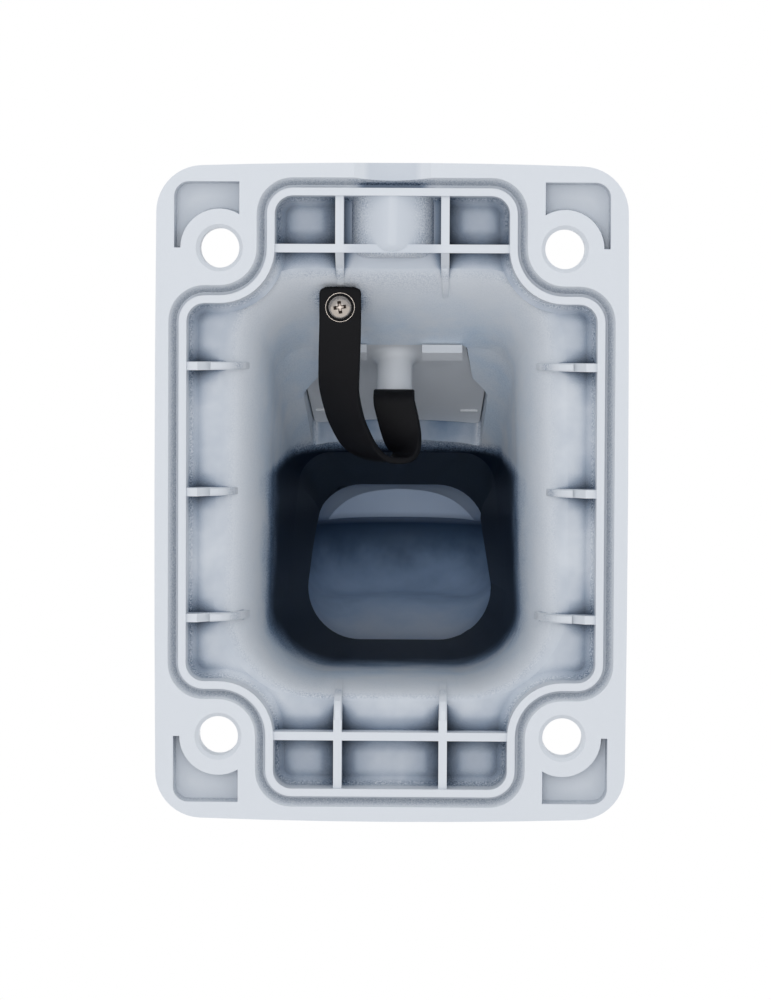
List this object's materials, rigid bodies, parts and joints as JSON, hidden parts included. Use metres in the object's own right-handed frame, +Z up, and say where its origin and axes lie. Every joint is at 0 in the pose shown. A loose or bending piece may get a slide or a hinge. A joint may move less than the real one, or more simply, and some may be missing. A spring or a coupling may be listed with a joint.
{
  "type": "camera wall bracket",
  "caption": "Die-cast wall bracket for a dome camera: bolted plate, hollow arm with a service hatch and a downward threaded collar.",
  "frame": {"origin": "middle of the four bolt holes, on the plane where the bracket's back meets the wall", "axes": "+Z up in use, +Y into the wall, -Y along the arm away from the wall, +X to the right seen from the wall's back"},
  "size_m": [0.112, 0.1876, 0.156],
  "materials": {
    "casting_paint": "satin powder coat, fading to dark bare casting deep inside the arm",
    "cover_plastic": "fine matte moulding",
    "seal_rubber": "matte",
    "strap_rubber": "satin moulded rubber",
    "screw_steel": "bright nickel plating",
    "washer_steel": "nickel plating with a bright rim"
  },
  "bodies": {
    "root": {"bracket_casting": "casting_paint", "hatch_cover": "cover_plastic", "hatch_gasket": "seal_rubber", "hatch_screw": "screw_steel", "tether_strap": "strap_rubber", "strap_screw": "screw_steel", "strap_washer": "washer_steel", "peg_screw": "screw_steel", "peg_washer": "washer_steel"}
  },
  "joints": []
}
